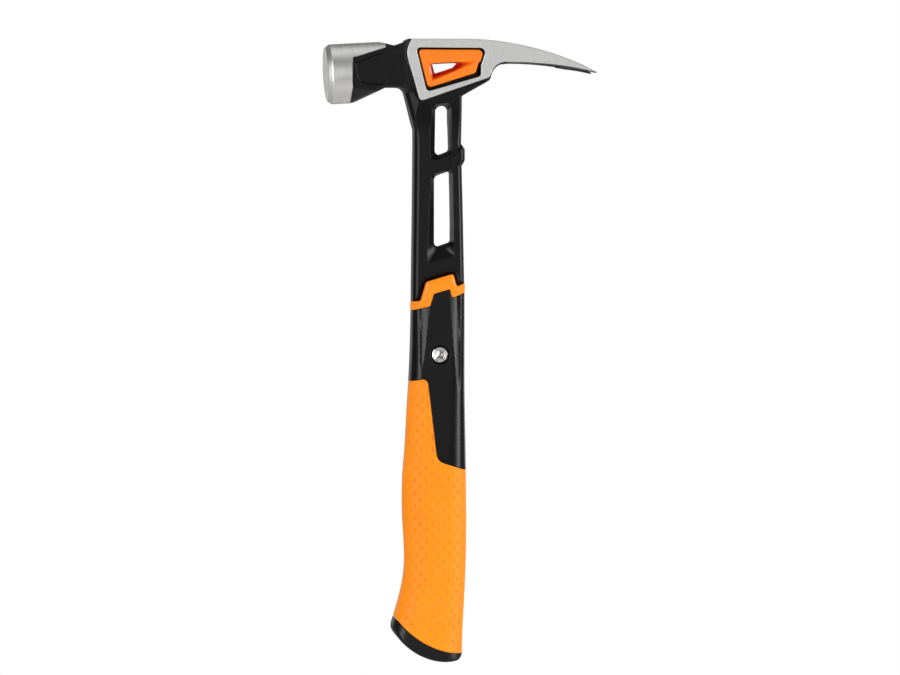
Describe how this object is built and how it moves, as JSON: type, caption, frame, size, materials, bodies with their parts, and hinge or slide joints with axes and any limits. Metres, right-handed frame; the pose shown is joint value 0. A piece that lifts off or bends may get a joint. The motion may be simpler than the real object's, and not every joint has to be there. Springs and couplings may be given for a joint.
{
  "type": "claw hammer",
  "caption": "Straight-claw carpenter's hammer: a one-piece forged steel head and slotted shank in an isolated, rubber-gripped handle.",
  "frame": {"origin": "middle of the hollow rivet's bore, on the handle's centre line", "axes": "+Z along the handle to the head, -X to the striking face, +X to the claw, Y through the handle's thickness along the rivet's bore"},
  "size_m": [0.1727, 0.0376, 0.3938],
  "materials": {
    "head_steel": "ground steel with a black coating on the forged surfaces",
    "magnet": "nickel plated",
    "insert_plastic": "satin orange",
    "sleeve_rubber": "matte orange",
    "core_plastic": "fine matte black",
    "grip_rubber": "matte orange with moulded dimples",
    "cap_plastic": "fine matte black",
    "rivet_steel": "bright polished"
  },
  "bodies": {
    "root": {"head_forging": "head_steel", "nail_magnet": "magnet", "head_insert": "insert_plastic", "isolation_sleeve": "sleeve_rubber", "handle_core": "core_plastic", "grip_overmold": "grip_rubber", "end_cap": "cap_plastic", "rivet_barrel": "rivet_steel", "rivet_collar": "rivet_steel"}
  },
  "joints": []
}
